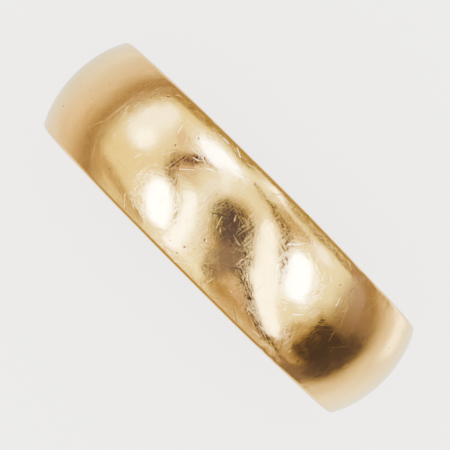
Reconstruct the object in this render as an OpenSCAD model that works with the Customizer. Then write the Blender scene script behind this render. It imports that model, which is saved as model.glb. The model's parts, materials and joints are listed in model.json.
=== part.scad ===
// Plain wedding band of D-section: domed outside, flat inside, with softened edges.
// A length of D-section wire is bent round until its two ends face each other, and a thin
// film of hard solder closes the ring. The finger hole runs along Y, and the ring stands on
// its rim with the solder joint at the bottom. The origin is the centre of the finger hole.

/* [Finger size] */
// Inside diameter of the ring
finger_bore_d = 18.5; // [14:0.1:23]

/* [Band section] */
// Width of the band, along the finger
band_w = 6.0; // [3:0.1:8]
// Thickness of the wire where the dome would meet the flat sides, before the edges are softened
edge_t = 1.01; // [0.75:0.01:1.2]
// How far the crest of the dome stands above those edges
dome_rise = 0.74; // [0.4:0.01:1.2]

/* [Softened edges] */
// Radius of the edge between the dome and each flat side
outer_edge_r = 0.3; // [0.1:0.01:0.35]
// Radius of the edge between the finger hole and each flat side
inner_edge_r = 0.2; // [0.05:0.01:0.3]

/* [Solder joint] */
// Thickness of the solder between the two ends of the wire
solder_t = 0.1; // [0.05:0.01:0.3]

/* [Hidden] */

gold = [0.85, 0.66, 0.36];
pale_gold = [0.88, 0.74, 0.50];

half_w = band_w / 2;
bore_r = finger_bore_d / 2;
crest_r = bore_r + edge_t + dome_rise;

// The dome is one arc through the crest and both edges, so its radius follows from its rise.
dome_r = (half_w * half_w + dome_rise * dome_rise) / (2 * dome_rise);
dome_centre = [crest_r - dome_r, 0];

// Each softened outer edge is an arc that is tangent to the dome and to the flat side.
outer_edge_y = half_w - outer_edge_r;
dome_turn = asin(outer_edge_y / (dome_r - outer_edge_r));
outer_edge_centre = [dome_centre.x + (dome_r - outer_edge_r) * cos(dome_turn), outer_edge_y];

// Each softened inner edge is an arc that is tangent to the flat side and to the finger hole.
inner_edge_centre = [bore_r + inner_edge_r, half_w - inner_edge_r];

// The solder fills a narrow sector at the bottom of the ring, measured at the middle of the wire.
bottom = 270;
middle_r = (bore_r + crest_r) / 2;
solder_angle = solder_t / middle_r * 180 / PI;

dome_steps = 20;
edge_steps = 6;
ring_facets = 360;

function arc(centre, r, from, to, steps) =
    [for (i = [0 : steps]) let (turn = from + (to - from) * i / steps) centre + r * [cos(turn), sin(turn)]];

function without_last(points) = [for (i = [0 : len(points) - 2]) points[i]];

// Half of the wire's outline, from the crest of the dome over both edges to the finger hole.
// x is the distance from the axis of the finger hole, and y lies along that axis.
half_outline = concat(
    without_last(arc(dome_centre, dome_r, 0, dome_turn, dome_steps)),
    arc(outer_edge_centre, outer_edge_r, dome_turn, 90, edge_steps),
    arc(inner_edge_centre, inner_edge_r, 90, 180, edge_steps)
);
other_half_outline = [for (i = [len(half_outline) - 1 : -1 : 1]) [half_outline[i].x, -half_outline[i].y]];

module wire_section() {
    polygon(concat(half_outline, other_half_outline));
}

// Part of a turn of the wire about the finger hole, from one angle on through another.
module bent_wire(from, through) {
    rotate([90, 0, 0])
        rotate_extrude(start = from, angle = through, $fn = ring_facets)
            wire_section();
}

module band() {
    color(gold)
        bent_wire(from = bottom + solder_angle / 2, through = 360 - solder_angle);
}

module solder_seam() {
    color(pale_gold)
        bent_wire(from = bottom - solder_angle / 2, through = solder_angle);
}

band();
solder_seam();
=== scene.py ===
# %% [markdown]
# # A worn gold wedding band
#
# A plain wedding band is a strip of D-section gold wire: flat where it meets the finger and domed
# outside. The goldsmith bends it round a mandrel, closes it with one solder joint, and polishes it.
# Decades on a hand then do the rest: slow hollows, softened edges, small dents and a web of hairlines.
#
# A polished ring has almost no colour of its own. It is a curved mirror, so this lesson builds three
# things with equal care: the worn surface, the finish of the metal, and the room that it reflects.

# %% Load the frame
import json
import math
import random

import bmesh
import bpy
import numpy as np
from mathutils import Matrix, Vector, noise


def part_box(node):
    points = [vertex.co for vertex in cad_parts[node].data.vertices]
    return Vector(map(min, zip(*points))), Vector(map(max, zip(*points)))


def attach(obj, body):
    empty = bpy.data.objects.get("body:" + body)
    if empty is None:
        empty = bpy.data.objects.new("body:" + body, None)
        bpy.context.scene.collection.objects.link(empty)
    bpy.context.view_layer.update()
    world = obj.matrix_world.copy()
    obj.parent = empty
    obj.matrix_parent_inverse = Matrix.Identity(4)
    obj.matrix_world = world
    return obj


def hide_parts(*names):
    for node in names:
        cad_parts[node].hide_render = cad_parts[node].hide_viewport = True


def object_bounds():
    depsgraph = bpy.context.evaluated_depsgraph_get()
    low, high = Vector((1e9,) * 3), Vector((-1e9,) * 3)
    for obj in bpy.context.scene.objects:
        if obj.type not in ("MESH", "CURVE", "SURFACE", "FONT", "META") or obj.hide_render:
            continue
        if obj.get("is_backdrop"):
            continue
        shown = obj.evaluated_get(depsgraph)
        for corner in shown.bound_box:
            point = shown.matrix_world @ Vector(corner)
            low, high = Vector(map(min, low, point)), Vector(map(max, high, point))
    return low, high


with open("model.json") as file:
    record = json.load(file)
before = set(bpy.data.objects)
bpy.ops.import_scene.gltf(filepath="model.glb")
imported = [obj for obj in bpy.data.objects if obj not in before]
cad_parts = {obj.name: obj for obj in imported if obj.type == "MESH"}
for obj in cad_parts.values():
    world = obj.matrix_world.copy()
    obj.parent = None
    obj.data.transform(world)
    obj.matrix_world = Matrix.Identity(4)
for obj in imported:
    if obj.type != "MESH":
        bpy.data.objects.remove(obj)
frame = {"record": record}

cad_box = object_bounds()
MM = 0.001
MICRON = 1e-6

# %% [markdown]
# ## The ring's own sizes
#
# The frame already knows how big the ring is, so nothing is measured twice. The finger hole's radius
# is written in its mount, and the band's box gives the width and the outside radius. Only the shape
# of the wire between those sizes has to be said here.

# %% Read the sizes
finger_bore = next(m for m in frame["record"]["mounts"] if m["name"] == "finger_bore")
bore_r = finger_bore["dims"]["r_mm"] * MM
band_low, band_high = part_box("band")
crest_r = band_high.x
half_w = band_high.y

# The wire's thickness where the dome would meet the flat sides, and its two softened edges
edge_wall = 1.01 * MM
outer_edge_r = 0.3 * MM
inner_edge_r = 0.2 * MM
solder_t = 0.1 * MM

print(f"finger hole {bore_r / MM * 2:.2f} mm, outside {crest_r / MM * 2:.2f} mm")
print(f"width {half_w / MM * 2:.2f} mm")

# %% [markdown]
# ## The section of the wire
#
# Half-round wire is drawn through a D-shaped plate. Its outline is a chain of arcs and straights: the
# dome, a softened edge, the flat side, a small inner edge, and the flat that touches the finger.
# Each arc is tangent to its neighbours, so no false crease can show in a mirror finish.
#
# The outline is kept as points with their outward normals and their distance round the wire. The
# normals say which way wear moves a point, and the distance is used later to lay scratches flat.

# %% Walk round the outline
dome_rise = crest_r - bore_r - edge_wall
dome_r = (half_w ** 2 + dome_rise ** 2) / (2 * dome_rise)
dome_centre = crest_r - dome_r
dome_turn = math.asin((half_w - outer_edge_r) / (dome_r - outer_edge_r))
outer_edge_x = dome_centre + (dome_r - outer_edge_r) * math.cos(dome_turn)
inner_edge_x = bore_r + inner_edge_r


def arc_points(centre_x, centre_y, radius, first, last, steps):
    """Points along an arc as (distance from the axis, place across the width, normal x, normal y)."""
    found = []
    for turn in np.linspace(first, last, steps + 1):
        c, s = math.cos(turn), math.sin(turn)
        found.append((centre_x + radius * c, centre_y + radius * s, c, s))
    return found


def wire_outline(dome_steps=64, edge_steps=8, side_steps=3, inner_steps=6, bore_steps=14):
    """The closed outline of the wire, one row a point, starting from the middle of the finger hole."""
    quarter = math.pi / 2
    outer_y = half_w - outer_edge_r
    inner_y = half_w - inner_edge_r
    half = arc_points(dome_centre, 0, dome_r, 0, dome_turn, dome_steps // 2)[:-1]
    half += arc_points(outer_edge_x, outer_y, outer_edge_r, dome_turn, quarter, edge_steps)
    half += [(x, half_w, 0, 1) for x in np.linspace(outer_edge_x, inner_edge_x, side_steps + 1)[1:-1]]
    half += arc_points(inner_edge_x, inner_y, inner_edge_r, quarter, 2 * quarter, inner_steps)
    bore = [(bore_r, y, -1, 0) for y in np.linspace(inner_y, -inner_y, bore_steps + 1)[1:-1]]
    other_half = [(x, -y, nx, -ny) for x, y, nx, ny in reversed(half[1:])]
    middle_of_bore = len(half) + len(bore) // 2
    return np.roll(np.array(half + bore + other_half), -middle_of_bore, axis=0)


outline = wire_outline()
steps_round = np.diff(np.vstack([outline, outline[:1]])[:, :2], axis=0)
outline_length = np.concatenate([[0], np.cumsum(np.hypot(*steps_round.T))])
print(f"outline: {len(outline)} points, {outline_length[-1] / MM:.2f} mm round")

# %% [markdown]
# ## Wear that moves the surface
#
# The eye reads a mirror by its reflections, and a hollow only a hundredth of a millimetre deep bends
# them visibly. So the wear that has width is modelled in the mesh, in three sizes:
#
# - slow hollows, a few millimetres across, from years of pressing against other things;
# - finer ripple, which makes the borders of reflections wander;
# - single knocks, each a shallow dish, and steeper nicks along the two outer edges.
#
# Each is a function of the point in space, so the solder joint gets the same surface as the band.

# %% Hollows and ripple
HOLLOWS = (
    # size of a hollow, and how deep it goes
    (4.6 * MM, 14.0 * MICRON),
    (1.7 * MM, 5.5 * MICRON),
    (0.7 * MM, 1.8 * MICRON),
)


def rolling(points, size, seed):
    """Smooth noise from -1 to 1 at each point, with bumps of about the given size."""
    shift = Vector((seed * 7.3, seed * 3.1, seed * 5.7))
    flat = points.reshape(-1, 3) / size
    return np.array([noise.noise(Vector(p) + shift) for p in flat]).reshape(points.shape[:-1])


print(f"hollows up to {HOLLOWS[0][1] / MICRON:.0f} microns deep")


# %% Single knocks
def knocks(count, seed, across, radius, steepness, on_edges=False):
    """Random knocks as (place on the surface, radius, depth).

    across is a range of places between the crest, at 0, and the end of the dome's arc, at 1. radius is
    a range in millimetres, and steepness is a range of depth divided by radius.
    """
    rnd = random.Random(seed)
    found = []
    for _ in range(count):
        turn = rnd.uniform(0, math.tau)
        side = rnd.choice((-1, 1)) if on_edges else 1
        lean = side * rnd.uniform(*across) * dome_turn
        size = rnd.uniform(*radius) * MM
        depth = size * rnd.uniform(*steepness)
        reach = dome_centre + dome_r * math.cos(lean)
        place = (reach * math.sin(turn), dome_r * math.sin(lean), reach * math.cos(turn))
        found.append((np.array(place), size, depth))
    return found


dome_knocks = knocks(90, 3, across=(-0.95, 0.95), radius=(0.1, 0.5), steepness=(0.004, 0.016))
edge_nicks = knocks(70, 8, across=(0.96, 1.08), radius=(0.12, 0.38), steepness=(0.02, 0.06), on_edges=True)
print(f"{len(dome_knocks)} knocks on the dome, {len(edge_nicks)} nicks along its edges")

# %% All the wear together
# The outer edges are worn most. Part of that wear is even, and the rest comes in patches.
EDGE_WEAR_DEPTH = 26 * MICRON
EDGE_WEAR_EVEN_SHARE = 0.6
EDGE_WEAR_PATCH = 2.6 * MM
EDGE_WEAR_SEED = 11

# Its strip is deepest a little in from each flat side, and fades away over this width
EDGE_WEAR_INSET = 0.2 * MM
EDGE_WEAR_WIDTH = 0.3 * MM

# How steeply a knock rises to its rim
KNOCK_FALLOFF = 2.5


def wear_depth(points, outwards):
    """How far wear has lowered the surface at each point, in metres."""
    depth = sum(amount * rolling(points, size, seed) for seed, (size, amount) in enumerate(HOLLOWS))
    on_edge = np.exp(-((np.abs(points[..., 1]) - half_w + EDGE_WEAR_INSET) / EDGE_WEAR_WIDTH) ** 2)
    on_edge = on_edge * np.clip(outwards, 0, 1)
    patches = rolling(points, EDGE_WEAR_PATCH, EDGE_WEAR_SEED)
    depth = depth + on_edge * EDGE_WEAR_DEPTH * (EDGE_WEAR_EVEN_SHARE + patches)
    for place, radius, deep in dome_knocks + edge_nicks:
        near = np.linalg.norm(points - place, axis=-1) / radius
        depth = depth + deep * np.exp(-near ** 2 * KNOCK_FALLOFF)
    return depth


crest = np.array([(0.0, 0.0, crest_r)])
print(f"wear at the top of the crest: {wear_depth(crest, np.ones(1))[0] / MICRON:.1f} microns")

# %% [markdown]
# ## Bending the wire into a ring
#
# On the bench the wire is bent until its ends meet. In code the same move is a sweep: the outline is
# repeated at small steps round the finger hole and neighbouring outlines are joined by quads. A
# sweep keeps every quad square to the surface, which a remesh or a boolean would not, and a polished
# surface shows each stray edge. The two ends are closed with caps that meet the solder.
#
# Each corner of each quad also remembers where it lies on the unrolled wire, in millimetres: how far
# round the ring, and how far across the outline. The finish draws scratches at their real size with
# it. Corners, and not points, carry it, so that it can start again from zero inside the finger hole.

# %% Sweep the outline
BOTTOM = -math.pi / 2
middle_r = (bore_r + crest_r) / 2
half_gap = solder_t / middle_r / 2


def sweep_wire(name, first, last, steps, sunk=0.0):
    """A length of wire bent about the finger hole from one angle to another, as a closed mesh."""
    turns = np.linspace(first, last, steps + 1)[:, None]
    reach, across, normal_r, normal_y = outline.T
    points = np.stack([reach * np.cos(turns), across + 0 * turns, reach * np.sin(turns)], axis=-1)
    normals = np.stack([normal_r * np.cos(turns), normal_y + 0 * turns, normal_r * np.sin(turns)], axis=-1)
    outwards = normal_r + 0 * turns
    worn = points - normals * (wear_depth(points, outwards) + sunk)[..., None]

    around = len(outline)
    corners = np.arange((steps + 1) * around).reshape(steps + 1, around)
    after = np.roll(corners, -1, axis=1)
    walls = np.stack([corners[:-1], corners[1:], after[1:], after[:-1]], axis=-1).reshape(-1, 4)
    mesh = bpy.data.meshes.new(name)
    caps = [corners[0].tolist(), corners[-1][::-1].tolist()]
    mesh.from_pydata(worn.reshape(-1, 3).tolist(), [], walls.tolist() + caps)
    smooth = [True] * len(walls) + [False] * len(caps)
    mesh.polygons.foreach_set("use_smooth", smooth)

    wall_steps, wall_columns = np.divmod(np.arange(steps * around), around)
    unrolled = np.zeros((len(mesh.loops), 3))
    walls_end = 4 * len(walls)
    along = turns.ravel() * crest_r / MM
    unrolled[:walls_end, 0] = np.stack([along[wall_steps + i] for i in (0, 1, 1, 0)], axis=-1).ravel()
    across_mm = outline_length / MM
    unrolled[:walls_end, 1] = np.stack([across_mm[wall_columns + i] for i in (0, 0, 1, 1)], axis=-1).ravel()
    mesh.attributes.new("unrolled", "FLOAT_VECTOR", "CORNER").data.foreach_set("vector", unrolled.ravel())

    tidy = bmesh.new()
    tidy.from_mesh(mesh)
    bmesh.ops.recalc_face_normals(tidy, faces=tidy.faces)
    tidy.to_mesh(mesh)
    tidy.free()
    piece = bpy.data.objects.new(name, mesh)
    bpy.context.scene.collection.objects.link(piece)
    triangles = sum(len(f.vertices) - 2 for f in mesh.polygons)
    print(f"{name}: {len(mesh.vertices)} points, {triangles} triangles")
    return piece


worn_band = sweep_wire("worn_band", BOTTOM + half_gap, BOTTOM + math.tau - half_gap, steps=840)
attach(worn_band, "root")
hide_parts("band")

# %% [markdown]
# ## The solder joint
#
# Hard solder is an alloy of the same gold that melts a little sooner. It is filed flush after
# soldering, and it wears slightly faster than the wire, so an old joint is a faint, pale line
# that can just be felt with a fingernail. The same sweep makes it, a few microns sunk.

# %% Fill the joint
solder_line = sweep_wire("solder_line", BOTTOM - half_gap, BOTTOM + half_gap, steps=4, sunk=3 * MICRON)
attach(solder_line, "root")
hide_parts("solder_seam")

# %% [markdown]
# ## Shader maths as plain sums
#
# A finish is a set of sums over the surface. Written out node by node, ten lines of sums turn into
# sixty lines of wiring, so a small class wraps a socket and lets Python's own operators add the
# nodes. Numbers use Math nodes, vectors use Vector Math and colours use Mix.

# %% Wrap a socket
class Wire:
    """An output socket whose sums add the nodes that they need."""

    def __init__(self, socket):
        self.socket = socket
        self.tree = socket.id_data

    def node(self, kind, settings=None, **values):
        return add_node(self.tree, kind, settings, **values)

    def out(self, name):
        """Another output of the same node."""
        return Wire(self.socket.node.outputs[name])

    def sum(self, operation, *others):
        """A Math node, or a Vector Math node if this socket is a vector."""
        is_vector = self.socket.type == "VECTOR"
        kind = "ShaderNodeVectorMath" if is_vector else "ShaderNodeMath"
        made = add_node(self.tree, kind, {"operation": operation})
        for place, other in enumerate((self, *others)):
            if is_vector and isinstance(other, (int, float)):
                other = (other,) * 3
            connect(self.tree, other, made.socket.node.inputs[place])
        return made

    def __add__(self, other):
        return self.sum("ADD", other)

    def __radd__(self, other):
        return self.sum("ADD", other)

    def __sub__(self, other):
        return self.sum("SUBTRACT", other)

    def __rsub__(self, other):
        return (self * -1) + other

    def __mul__(self, other):
        return self.sum("MULTIPLY", other)

    def __rmul__(self, other):
        return self.sum("MULTIPLY", other)

    def __truediv__(self, other):
        return self.sum("DIVIDE", other)

    def __pow__(self, other):
        return self.sum("POWER", other)

    def __abs__(self):
        return self.sum("ABSOLUTE")

    def sine(self):
        return self.sum("SINE")

    def cosine(self):
        return self.sum("COSINE")

    def at_least(self, other):
        return self.sum("MAXIMUM", other)

    def fade(self, low, high):
        """0 below low and 1 above high, with a smooth step between; high may be below low."""
        return self.node("ShaderNodeMapRange", {"interpolation_type": "SMOOTHSTEP"},
                         **{"Value": self, "From Min": low, "From Max": high, "To Min": 0.0, "To Max": 1.0})

    def between(self, none, full):
        """A colour that goes from none to full as this value goes from 0 to 1."""
        return add_node(self.tree, "ShaderNodeMix", {"data_type": "RGBA"}, Factor=self, A=none, B=full)

    def parts(self):
        """The three numbers of a vector or a colour."""
        split = self.node("ShaderNodeSeparateXYZ", Vector=self)
        return split.out("X"), split.out("Y"), split.out("Z")


# %% Add a node and link it
def connect(tree, value, socket):
    """Links a wire to a socket, or sets the socket to a number or a colour."""
    if isinstance(value, Wire):
        tree.links.new(value.socket, socket)
    elif socket.type == "RGBA":
        socket.default_value = (*value[:3], 1.0)
    else:
        socket.default_value = value


def add_node(tree, kind, settings=None, **values):
    """Adds a node: first its settings, then the values or links of its sockets."""
    node = tree.nodes.new(kind)
    for name, value in (settings or {}).items():
        setattr(node, name, value)
    for name, value in values.items():
        usable = [s for s in node.inputs if s.name == name and s.enabled]
        connect(tree, value, usable[0])
    shown = [s for s in node.outputs if s.enabled]
    return Wire(shown[0]) if shown else None


# %% Start and end a finish
def new_finish(name):
    """An empty material's node tree, ready for add_node."""
    material = bpy.data.materials.new(name)
    material.use_nodes = True
    material.node_tree.nodes.clear()
    return material, material.node_tree


def metal(tree, colour, roughness, normal):
    """A bare metal surface, linked to the material's output."""
    shader = add_node(tree, "ShaderNodeBsdfPrincipled",
                      **{"Base Color": colour, "Metallic": 1.0, "Roughness": roughness, "Normal": normal})
    add_node(tree, "ShaderNodeOutputMaterial", Surface=shader)


# %% [markdown]
# ## Hairlines
#
# A scratch on gold is a short, nearly straight groove, and scratches cross at every angle. A noise
# texture gives clouds, not lines. A Voronoi texture, though, splits the surface into cells and gives
# each cell a centre and a random colour. The colour's three parts can pick a depth, an angle and a
# length, and a line through the centre is then one scratch. Several layers with different cell sizes
# cross over each other as real scratches do.
#
# Between the scratches lies a web of hairlines too fine to count. It comes from another trick: a noise
# that is stretched until its blobs are long slivers, kept only where it crosses its middle value.

# %% One layer of scratches
SCRATCHES = (
    # cell, length and width in millimetres, shift of the pattern, share of the cells that hold a groove
    (1.3, 2.2, 0.058, 7.9, 0.65),
    (0.9, 1.3, 0.048, 11.7, 0.6),
    (0.6, 0.8, 0.042, 5.3, 0.6),
)
FAINT_SCRATCHES = (0.4, 0.5, 0.034, 8.9, 0.7)
FAINT = 0.6  # the depth of the faint ones beside the others
SHORTEST = 0.4  # the shortest scratch of a layer beside the longest
MOST_BEND = 0.05  # how much the scratches bow
SHALLOW_BIAS = 1.3  # above 1, more of them are shallow


def scratches(place, cell, length, width, shift, share):
    """How deep the grooves of one layer are, from 0 to 1, on the unrolled wire in millimetres.

    A groove tapers towards its two ends, and its walls slope nearly to its middle.
    """
    moved = place + (shift, shift * 0.7, 0.0)
    cells = add_node(place.tree, "ShaderNodeTexVoronoi", {"voronoi_dimensions": "2D", "feature": "F1"},
                     **{"Vector": moved, "Scale": 1.0 / cell, "Randomness": 1.0})
    depth_pick, angle_pick, size_pick = cells.out("Color").parts()
    x, y, _ = (moved - cells.out("Position")).parts()
    angle = angle_pick * math.tau
    along = x * angle.cosine() + y * angle.sine()
    aside = y * angle.cosine() - x * angle.sine()
    bend = (size_pick - 0.5) * MOST_BEND / length
    reach = (size_pick * (1 - SHORTEST) + SHORTEST) * (length / 2)
    ends = (abs(along) / reach).fade(1.0, 0.6)
    groove = (abs(aside - along * along * bend) / (width / 2)).fade(1.0, 0.1)
    depth = ((depth_pick - (1 - share)) / share).at_least(0.0) ** SHALLOW_BIAS
    return groove * ends * depth


print(f"{len(SCRATCHES)} layers of scratches and a fainter one")

# %% A web of hairlines
HAIRLINES = (
    # angle to the ring's edge in degrees, length and spacing in millimetres
    (31, 2.4, 0.070),
    (84, 1.8, 0.062),
    (128, 2.7, 0.080),
    (160, 2.1, 0.066),
)
EMERY_LINES = (3, 3.0, 0.090)


def hairlines(place, angle, length, spacing):
    """Many fine lines at nearly one angle, from 0 to 1: where a stretched noise crosses its middle.

    They come in patches, as rubbing does.
    """
    turned = add_node(place.tree, "ShaderNodeVectorRotate", {"rotation_type": "Z_AXIS"},
                      Vector=place, Angle=math.radians(angle))
    stretched = turned * (1 / length, 1 / spacing, 1.0) + (angle, 0.0, angle * 0.37)
    field = add_node(place.tree, "ShaderNodeTexNoise", Vector=stretched, Scale=1.0, Detail=0.0)
    lines = abs(field - 0.5).fade(0.05, 0.0)
    patches = field.out("Color").parts()[2].fade(0.36, 0.52)
    return lines * patches


def crossed(layers):
    """Several masks as one, where the deepest groove wins."""
    total = layers[0]
    for layer in layers[1:]:
        total = total.at_least(layer)
    return total


print(f"hairlines at {len(HAIRLINES)} angles, {min(h[2] for h in HAIRLINES)} mm apart at the closest")

# %% [markdown]
# ## The finish of old gold
#
# Polished gold reflects like a mirror, and its warm colour is the colour that it gives to what it
# reflects. Age adds three things. Fine rubbing spreads each highlight a little, more in some places
# than in others, so the roughness follows soft patches. Hairlines tilt the surface, so they glitter
# against dark reflections. A trace of grime stays in the deepest marks and warms the colour there.
#
# Inside, the ring is rubbed by skin and cleaned less often: it is duller, with fine lines that run
# round the hole from the emery stick of the day it was made.

# %% Colours, depths and dullness
GOLD = (1.0, 0.70, 0.22)
WARM_GOLD = (0.97, 0.665, 0.20)
GRIME = (0.34, 0.18, 0.08)

# How deep the web of hairlines is beside a full scratch
WEB_SHARE = 0.19

# Depths in microns; the polish leaves a faint orange peel that stands up a little
MARK_DEPTH = 3.1
EMERY_DEPTH = 1.2
PIT_DEPTH = 6.0
POLISH_HEIGHT = 2.2

# Roughness of the polish, and what each kind of wear adds to it
POLISHED = 0.05
RUBBED_ADDS = 0.04
CLOUD_ADDS = 0.03
MARKS_ADD = 0.15
INSIDE_ADDS = 0.12
PITS_ADD = 0.2

# How much grime lies in full scratches and in the finger hole; pits are full of it
GRIME_IN_MARKS = 0.10
GRIME_INSIDE = 0.12

print(f"scratches {MARK_DEPTH} microns deep, pits {PIT_DEPTH}, emery lines {EMERY_DEPTH}")


# %% Gold
def old_gold(name, clean, warm, haze=0.0):
    """Worn gold from two shades of one colour; haze makes all of it duller."""
    material, tree = new_finish(name)
    place = add_node(tree, "ShaderNodeAttribute", {"attribute_name": "unrolled"}).out("Vector")
    spot = add_node(tree, "ShaderNodeTexCoord").out("Object")
    x, _, z = spot.parts()
    from_axis = (x * x + z * z) ** 0.5
    # 1 in the finger hole, and fading out over its softened edges
    inside = from_axis.fade(bore_r + 0.16 * MM, bore_r + 0.04 * MM)

    cloud = add_node(tree, "ShaderNodeTexNoise",
                     **{"Vector": spot, "Scale": 0.35 / MM, "Detail": 4.0, "Roughness": 0.55})
    fine_cloud = add_node(tree, "ShaderNodeTexNoise",
                          **{"Vector": spot, "Scale": 2.2 / MM, "Detail": 5.0, "Roughness": 0.6})

    layers = [scratches(place, *layer) for layer in SCRATCHES]
    layers.append(scratches(place, *FAINT_SCRATCHES) * FAINT)
    scratched = crossed(layers)
    rubbed = cloud.fade(0.38, 0.62)
    web = crossed([hairlines(place, *lines) for lines in HAIRLINES])
    marks = scratched.at_least(web * WEB_SHARE)
    emery = hairlines(place, *EMERY_LINES) * inside

    pits = add_node(tree, "ShaderNodeTexVoronoi", {"voronoi_dimensions": "3D", "feature": "F1"},
                    **{"Vector": spot, "Scale": 2.0 / MM, "Randomness": 1.0})
    # Two cells in five hold a pit
    pit_pick, pit_size, _ = pits.out("Color").parts()
    pit = (pits / (pit_size * 0.16 + 0.05)).fade(1.0, 0.3) * pit_pick.fade(0.42, 0.40)

    dirt = pit.at_least(marks * GRIME_IN_MARKS).at_least(inside * rubbed * GRIME_INSIDE)
    shade = rubbed.between(clean, warm)
    colour = dirt.between(shade, GRIME)

    polish = POLISHED + haze + rubbed * RUBBED_ADDS + fine_cloud * CLOUD_ADDS
    roughness = polish + marks * MARKS_ADD + inside * INSIDE_ADDS + pit * PITS_ADD

    grooves = marks * -MARK_DEPTH + emery * -EMERY_DEPTH + pit * -PIT_DEPTH
    height = (grooves + fine_cloud * POLISH_HEIGHT) * MICRON
    relief = add_node(tree, "ShaderNodeBump", **{"Strength": 1.0, "Distance": 1.0, "Height": height})
    metal(tree, colour, roughness, relief)
    print(f"{name}: {len(tree.nodes)} nodes")
    return material


worn_band.data.materials.append(old_gold("old_gold", GOLD, WARM_GOLD))

# %% [markdown]
# ## The finish of the solder
#
# The solder holds less gold and more silver, so it is paler, and it never takes quite the same
# polish. It uses the same recipe with a paler pair of colours and a little more haze.

# %% Gold solder
SOLDER = (0.98, 0.76, 0.38)
WARM_SOLDER = (0.90, 0.66, 0.30)
solder_line.data.materials.append(old_gold("gold_solder", SOLDER, WARM_SOLDER, haze=0.08))

# %% [markdown]
# ## The floor and the light
#
# The ring stands on a pale sheet under an even, pale sky, like a ring in a light tent. The sheet glows
# faintly, as a light table does, which keeps the shadow under the ring soft. Floor and sky have the
# same brightness, so no horizon shows behind the ring from any side.

# %% Pale floor and soft sky
FLOOR_SIZE = 3.0
PALE = (1.0, 0.985, 0.965)
SKY_LIGHT = 1.9
FLOOR_SHARE = 0.45
FLOOR_GLOW = SKY_LIGHT * (1 - FLOOR_SHARE)

floor_z = cad_box[0].z


def pale_floor():
    """One glowing sheet under the ring."""
    mesh = bpy.data.meshes.new("floor")
    half = FLOOR_SIZE / 2
    corners = [(-half, -half, floor_z), (half, -half, floor_z),
               (half, half, floor_z), (-half, half, floor_z)]
    mesh.from_pydata(corners, [], [(0, 1, 2, 3)])
    floor = bpy.data.objects.new("floor", mesh)
    bpy.context.scene.collection.objects.link(floor)
    material, tree = new_finish("pale_sheet")
    paper = tuple(FLOOR_SHARE * c for c in PALE)
    shader = add_node(tree, "ShaderNodeBsdfPrincipled",
                      **{"Base Color": paper, "Roughness": 0.8, "Specular IOR Level": 0.0,
                         "Emission Color": PALE, "Emission Strength": FLOOR_GLOW})
    add_node(tree, "ShaderNodeOutputMaterial", Surface=shader)
    mesh.materials.append(material)
    floor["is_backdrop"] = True


def soft_sky():
    """The same light from every side."""
    world = bpy.data.worlds.new("soft_sky")
    world.use_nodes = True
    world.node_tree.nodes.clear()
    light = add_node(world.node_tree, "ShaderNodeBackground", Color=PALE, Strength=SKY_LIGHT)
    add_node(world.node_tree, "ShaderNodeOutputWorld", Surface=light)
    bpy.context.scene.world = world


pale_floor()
soft_sky()
print(f"floor {FLOOR_SIZE:.0f} m wide, {-floor_z / MM:.1f} mm below the middle of the ring")

# %% [markdown]
# ## The room in the mirror
#
# Under an even sky a polished ring looks like plastic. It needs a room to reflect: bright cards, a dark
# camera and stand in the middle of a cream ceiling, brown walls low down, and a table top that is pale
# near the ring and dim further off. The room here is one painted shell: a wide dome joined to a sheet
# just above the floor. Only the ring's reflections see it, so it neither lights nor shades the floor.
#
# Gold gives its own colour to all that it reflects, so the room's paints are paler and bluer than they
# look in the ring.

# %% Colours of the room
CREAM = (1.0, 1.04, 0.78)
HONEY = (1.0, 0.97, 0.55)
PAPER = (1.0, 1.08, 1.40)
WHITE = (1.0, 1.20, 2.40)
TAN = (1.0, 0.81, 0.80)
SAND = (1.0, 0.88, 0.76)
WOOD = (1.0, 0.84, 0.62)
HONEY_SAND = (1.0, 0.80, 0.60)
BROWN = (1.0, 0.80, 0.98)
COCOA = (1.0, 0.85, 1.35)
SHADE = (1.0, 0.92, 1.85)
SOOT = (1.0, 0.98, 2.50)
MOCHA = (1.0, 0.74, 2.90)
PEARL = (1.0, 1.0, 1.5)
CARD = (1.0, 1.15, 1.8)
CUFF = (1.0, 0.93, 1.8)
TABLE = (1.0, 0.99, 0.90)

print("cream as the gold shows it:", [round(own * gold, 2) for own, gold in zip(CREAM, GOLD)])

# %% [markdown]
# ## Paint and brushes
#
# A place on the dome is given as on a star chart held overhead: degrees to the right and degrees up
# from the point straight above the ring, with the horizon at 90 degrees. Places on the table are in
# millimetres from the ring's axis. Paint goes on as on a canvas: the base first, then soft strokes
# along smooth paths. Each stroke has a colour, a brightness, a width that may change on the way, and
# soft borders. Before painting, noise moves every place a little, so no border is a ruled line.

# %% Soft strokes
def smooth_path(points, steps=8):
    """A smooth line through the points, with any third number, such as a width."""
    points = [np.array(p, float) for p in points]
    padded = [2 * points[0] - points[1], *points, 2 * points[-1] - points[-2]]
    found = []
    for a, b, c, d in zip(padded, padded[1:], padded[2:], padded[3:]):
        for t in np.linspace(0, 1, steps, endpoint=False):
            found.append(0.5 * (2 * b + (c - a) * t + (2 * a - 5 * b + 4 * c - d) * t ** 2
                                + (3 * b - a - 3 * c + d) * t ** 3))
    return found + [points[-1]]


def ease(value, low, high):
    """0 at low and 1 at high, with a smooth step between; high may be below low."""
    t = np.clip((value - low) / (high - low), 0, 1)
    return t * t * (3 - 2 * t)


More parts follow.
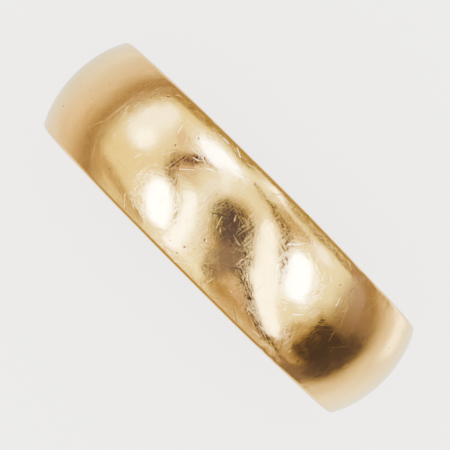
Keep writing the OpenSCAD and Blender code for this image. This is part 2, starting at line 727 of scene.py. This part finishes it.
def stroke(places, path, soft):
    """How much of a brush stroke covers each place; the path is rows of (x, y, width)."""
    cover = np.zeros(len(places))
    line = smooth_path(path)
    for start, end in zip(line, line[1:]):
        way = (end - start)[:2]
        run = np.clip((places - start[:2]) @ way / max(way @ way, 1e-9), 0, 1)
        width = start[2] + (end[2] - start[2]) * run
        away = np.linalg.norm(places - start[:2] - run[:, None] * way, axis=1) / (width / 2)
        cover = np.maximum(cover, ease(away, 1 + soft / 2, 1 - soft / 2))
    return cover


def paint(canvas, cover, light, colour):
    """Lays a colour of a given brightness over the canvas."""
    shown = np.multiply.outer(light + np.zeros(len(canvas)), colour)
    return canvas + (shown - canvas) * cover[:, None]


def wander(places, size, amount, seed):
    """Moves each place a little, so that the borders of strokes are never ruled lines."""
    flat = np.column_stack([places, np.full(len(places), seed * 4.7)])
    sideways = rolling(flat, size, seed)
    upwards = rolling(flat, size, seed + 20)
    return places + amount * np.column_stack([sideways, upwards])


on_border = np.array([(1.0, 0.0)])
border_cover = stroke(on_border, [(0, -1, 2), (0, 1, 2)], soft=0.5)[0]
print(f"a stroke covers {border_cover:.2f} of the canvas along its border")

# %% [markdown]
# ## What the dome of the ring sees
#
# The crest looks straight up and sees the ceiling. Large cards hang there to the left and right, with
# the camera on its stand between them, a cable running off, and hoops and a rail of the card holders.
# Dark things get a wide, soft, tan stroke first, because the worn metal blurs their borders.

# %% What hangs on the ceiling
CEILING = (
    # what, brightness, colour, softness, then the path as (right, up, width)
    ("tan ceiling above", 0.56, TAN, 0.9,
     [(12, 44, 6), (24, 42, 10), (35, 40, 6)]),
    ("tan ceiling below", 0.46, TAN, 0.7,
     [(13, -46, 12), (31, -41, 20), (51, -43, 19), (63, -32, 13), (64, -17, 11)]),
    ("tan beside the hoop", 0.92, TAN, 1.0,
     [(-50, 28, 9), (-49, 21, 4)]),
    ("cream, lower middle", 1.8, CREAM, 1.0,
     [(-6, -45, 11), (4, -47, 9)]),
    ("tan inside the hoop", 0.80, TAN, 0.9,
     [(-33, 18, 6), (-33, 7, 9)]),
    ("haze round the hoop", 1.1, TAN, 0.8,
     [(-31, 26, 11), (-38, 19, 13), (-42, 10, 12), (-41, 1, 11), (-36, -6, 9)]),
    ("haze round the rail", 0.85, TAN, 0.9,
     [(0, 40, 6), (14, 35, 9), (24, 31, 13)]),
    ("tan patch, lower left", 0.58, TAN, 0.9,
     [(-77, -36, 9), (-61, -42, 13), (-47, -48, 10), (-34, -52, 5)]),
    ("left window", 2.3, PAPER, 0.8,
     [(-65, 35, 12), (-69, 18, 20), (-68, 1, 17)]),
    ("left window's middle", 3.6, PAPER, 0.9,
     [(-66, 9, 8), (-65, 0, 10)]),
    ("upper left card", 5.0, WHITE, 0.4,
     [(-40, 36, 9), (-29, 36, 15), (-19, 38, 11)]),
    ("upper left spill", 2.2, PAPER, 0.8,
     [(-20, 30, 10), (-16, 21, 7)]),
    ("lower left card", 7.0, WHITE, 0.35,
     [(-39, -16, 8), (-35, -26, 13), (-29, -37, 10)]),
    ("strip spill", 1.9, PAPER, 0.8,
     [(-20, 15, 6), (-21, 2, 7)]),
    ("strip", 4.2, CARD, 0.5,
     [(-25, -3, 6), (-20, -14, 8), (-16, -28, 8), (-15, -48, 8)]),
    ("gap between card and strip", 0.8, CREAM, 0.6,
     [(-31, -12, 3), (-26, -21, 4.5), (-22, -31, 3)]),
    ("long streak", 3.7, PAPER, 0.35,
     [(12, 24, 7), (20, 9, 12), (29, -6, 14), (39, -22, 13), (54, -36, 8)]),
    ("right card", 7.0, WHITE, 0.25,
     [(40, 22, 12), (43, 12, 15), (47, 1, 12)]),
    ("top card", 3.4, PAPER, 0.5,
     [(-5, 50.5, 3), (3, 50, 5), (11, 50.5, 3.5)]),
    ("top right card", 2.3, PEARL, 0.8,
     [(41, 44, 8), (46, 40, 10)]),
    ("tan under the cable", 0.80, TAN, 0.8,
     [(19, -31, 9), (27, -35, 10), (36, -41, 9)]),
    ("tan by the edge", 0.62, TAN, 0.8,
     [(18, -50, 6), (33, -50.5, 9), (52, -50, 9)]),
    ("haze round the camera", 0.62, TAN, 0.7,
     [(0, 20, 12), (-1, 8, 28), (6, -10, 30), (9, -34, 16)]),
    ("camera", 0.13, SOOT, 0.2,
     [(0, 15, 10), (-1, 5, 26), (6, -7, 19)]),
    ("camera's shoulder", 0.13, SOOT, 0.2,
     [(-9, 9, 8), (-9, 3, 9)]),
    ("stand", 0.14, SOOT, 0.25,
     [(2, -4, 17), (10, -12, 22), (18, -18, 14)]),
    ("sleeve", 0.27, CUFF, 0.5,
     [(10, -16, 18), (9, -28, 16), (8, -39, 11)]),
    ("cable", 0.08, MOCHA, 0.4,
     [(21, -20, 8), (29, -27, 8), (39, -36, 9), (50, -43.5, 8.5), (60, -48.5, 6.5), (76, -56, 7)]),
    ("left hoop", 0.12, MOCHA, 0.35,
     [(-31, 25, 5), (-38, 19, 9), (-43, 10, 9), (-42, 1, 8), (-37, -5, 5)]),
    ("top rail", 0.08, MOCHA, 0.35,
     [(-6, 41.5, 3.6), (4, 39.4, 4.4), (14, 35.4, 5), (21, 32.6, 7), (26, 28, 7)]),
    ("thin hoop", 0.30, COCOA, 0.5,
     [(24, 27, 7), (30, 16, 6.5), (35, 5, 7), (38, -4, 6)]),
)
print(f"{len(CEILING)} strokes on the ceiling")

# %% [markdown]
# ## What the ends of the ring see
#
# Where the ring curves down, it looks at the walls and then at the table. The walls are the brown arcs
# near its two ends, and the dark block on the right is a cabinet and the shade that it throws on the
# table. Each mask below runs from 0 to 1 between two places, and a product of masks is a soft box.

# %% Walls
DOME_WANDER = {"size": 9.0, "amount": 2.4, "seed": 31}


def paint_dome(chart):
    """Colours of the ceiling and the walls, from places on the star chart."""
    chart = wander(chart, **DOME_WANDER)
    right, up = chart.T
    tilt = np.hypot(right, up)
    canvas = np.full((len(chart), 3), 1.0) * CREAM * 1.4
    honey_side = ease(right, -20, -60)
    canvas = paint(canvas, honey_side, 1.28, HONEY)
    low_wall = ease(tilt, 78, 90)
    canvas = paint(canvas, low_wall, 0.44, BROWN)
    for _, light, colour, soft, path in CEILING:
        canvas = paint(canvas, stroke(chart, path, soft), light, colour)
    upper_eave = ease(up, 50.5, 54)
    canvas = paint(canvas, upper_eave, 0.36, BROWN)
    lower_eave = ease(-up, 52, 60)
    canvas = paint(canvas, lower_eave, 0.66, BROWN)
    cabinet_haze = ease(right, 59, 67) * ease(up, 16, 2) * ease(up, -56, -44)
    canvas = paint(canvas, cabinet_haze, 0.60, TAN)
    far_walls = ease(np.abs(up), 60, 72)
    canvas = paint(canvas, far_walls, 0.5, WOOD)
    right_wall = ease(right + 0.25 * up, 66, 80) * ease(right, 58, 66)
    wall_light = 0.25 + 0.22 * ease(up, 6, 40)
    canvas = paint(canvas, right_wall, wall_light, COCOA)
    cabinet = ease(right, 66, 71) * ease(up, 6, 0) * ease(up, -50, -34)
    return paint(canvas, cabinet, 0.10, SHADE)


# %% Table top
TABLE_WANDER = {"size": 12.0, "amount": 4.0, "seed": 33}
MOTTLE = {"size": 11.0, "seed": 41}
MOTTLE_AMOUNT = 0.22


def paint_table(places):
    """Colours of the table top, from places in millimetres."""
    places = wander(places, **TABLE_WANDER)
    x, y = places.T
    reach = np.hypot(x, y)
    bearing = np.degrees(np.arctan2(y, x))
    beside = np.abs(y) / reach
    canvas = np.full((len(places), 3), 1.0) * TABLE * 1.2
    sandy_rest = ease(reach, 24, 46)
    canvas = paint(canvas, sandy_rest, 1.08, SAND)
    honey_corner = ease(x, -10, -30) * ease(y, 10, -15) * 0.7
    canvas = paint(canvas, honey_corner, 1.0, HONEY_SAND)
    # Painted shadow: the table top is darker within about 11 mm of the ring's axis, where the ring shades
    # it
    ring_shadow_on_table = ease(reach, 11, 4) * 0.8
    canvas = paint(canvas, ring_shadow_on_table, 0.8, SAND)
    mottle = rolling(np.column_stack([places, reach * 0]), **MOTTLE)
    canvas = canvas * (1 + MOTTLE_AMOUNT * mottle)[:, None]
    # Painted shade: the table top dims to brown far from the ring, as the light falls off
    far_off = ease(np.log(reach * (1 + beside)), math.log(40), math.log(180))
    canvas = paint(canvas, far_off, 0.36, BROWN)
    left_rim = ease(np.log(reach), math.log(180), math.log(600)) * (x < 0)
    canvas = paint(canvas, left_rim, 0.62, BROWN)
    bright_spot = stroke(places, [(27, 6, 9), (24, 15, 8)], 0.8)
    canvas = paint(canvas, bright_spot, 2.3, TABLE)
    cabinet_shade = ease(bearing, 34, 6) * ease(bearing, -86, -50) * ease(reach, 34, 76)
    canvas = paint(canvas, cabinet_shade, 0.27, COCOA)
    cabinet_foot = ease(bearing, 14, 1) * ease(bearing, -40, -20) * ease(reach, 42, 80)
    return paint(canvas, cabinet_foot, 0.12, SHADE)


near_and_far = paint_table(np.array([(-20.0, 0.0), (-400.0, 0.0)]))
print("the table's light at 20 mm and at 400 mm:", near_and_far[:, 0].round(2))

# %% [markdown]
# ## The shell
#
# The dome stands on a table sheet a tenth of a millimetre above the floor. Both are one mesh with the
# paint in its points, and its material only glows. It is hidden from the camera and casts no shadow.
# A small hole is left in the middle of the table, under the ring, where all its columns meet.

# %% Build the shell
DOME_R = 600.0 * MM
TABLE_HOLE = 2.0 * MM
TABLE_LIFT = 0.1 * MM
TOP_TILT = 0.3


def painted_room(columns=480, dome_rows=150, table_rows=70):
    """A dome and a table top as one mesh, with a colour of light at each point."""
    bearings = np.linspace(0, math.tau, columns, endpoint=False)
    around = np.column_stack([np.cos(bearings), np.sin(bearings)])
    foot_z = floor_z + TABLE_LIFT
    lowest = math.degrees(math.acos(foot_z / DOME_R))
    places, colours = [], []
    for tilt in np.linspace(TOP_TILT, lowest, dome_rows):
        flat = around * DOME_R * math.sin(math.radians(tilt))
        height = DOME_R * math.cos(math.radians(tilt))
        places.append(np.column_stack([flat, np.full(columns, height)]))
        colours.append(paint_dome(around * tilt))
    foot = DOME_R * math.sin(math.radians(lowest))
    for reach in np.geomspace(foot, TABLE_HOLE, table_rows)[1:]:
        places.append(np.column_stack([around * reach, np.full(columns, foot_z)]))
        colours.append(paint_table(around * reach / MM))
    rows = len(places)
    corners = np.arange(rows * columns).reshape(rows, columns)
    after = np.roll(corners, -1, axis=1)
    quads = np.stack([corners[:-1], after[:-1], after[1:], corners[1:]], axis=-1).reshape(-1, 4)
    mesh = bpy.data.meshes.new("painted_room")
    mesh.from_pydata(np.concatenate(places).tolist(), [], quads.tolist())
    glow = np.column_stack([np.concatenate(colours), np.ones(rows * columns)])
    mesh.attributes.new("glow", "FLOAT_COLOR", "POINT").data.foreach_set("color", glow.ravel())
    room = bpy.data.objects.new("painted_room", mesh)
    bpy.context.scene.collection.objects.link(room)
    material, tree = new_finish("painted_light")
    glow = add_node(tree, "ShaderNodeAttribute", {"attribute_name": "glow"})
    light = add_node(tree, "ShaderNodeEmission", Color=glow.out("Color"), Strength=1.0)
    add_node(tree, "ShaderNodeOutputMaterial", Surface=light)
    mesh.materials.append(material)
    for kind in ("camera", "diffuse", "shadow", "transmission"):
        setattr(room, f"visible_{kind}", False)
    room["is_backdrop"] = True
    print(f"room: {rows * columns} points, dome of {DOME_R:.1f} m radius")


painted_room()

# %% [markdown]
# ## The camera
#
# The ring is seen from straight above its rim, so the finger hole is edge-on and hidden, and only the
# domed outside shows. The camera is rolled so that the ring lies corner to corner in a square frame.
# A long lens at about nine ring radii keeps the perspective gentle: the near crest is only a little
# larger than the two far ends.

# %% Look straight down
SENSOR = 36.0
CAMERA_HEIGHT = 9.4 * crest_r
RING_LENGTH = 0.969  # the outside diameter as a share of the frame's width
ROLL = math.radians(45)
AIM = Vector((-0.20, 0.13, 0)) * MM  # where it looks, right and up in the frame from the ring's middle

half_angle = math.asin(crest_r / CAMERA_HEIGHT)
lens = RING_LENGTH / 2 / math.tan(half_angle) * SENSOR

camera_data = bpy.data.cameras.new("camera")
camera_data.sensor_width = SENSOR
camera_data.lens = lens
camera_data.clip_start = 0.005
camera_data.clip_end = 10.0
camera = bpy.data.objects.new("camera", camera_data)
camera.location = Vector((AIM.x * math.cos(ROLL) - AIM.y * math.sin(ROLL),
                          AIM.x * math.sin(ROLL) + AIM.y * math.cos(ROLL), CAMERA_HEIGHT))
camera.rotation_euler = (0, 0, ROLL)
bpy.context.scene.collection.objects.link(camera)
bpy.context.scene.camera = camera
bpy.context.scene.view_settings.view_transform = "AgX"
bpy.context.scene.view_settings.look = "AgX - High Contrast"
print(f"lens {lens:.0f} mm, {CAMERA_HEIGHT / MM:.0f} mm above the middle of the ring")

# %% Write the two boxes
visual_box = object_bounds()
for label, (low, high) in (("cad", cad_box), ("visual", visual_box)):
    print(label, [round((b - a) / MM, 3) for a, b in zip(low, high)], "mm")
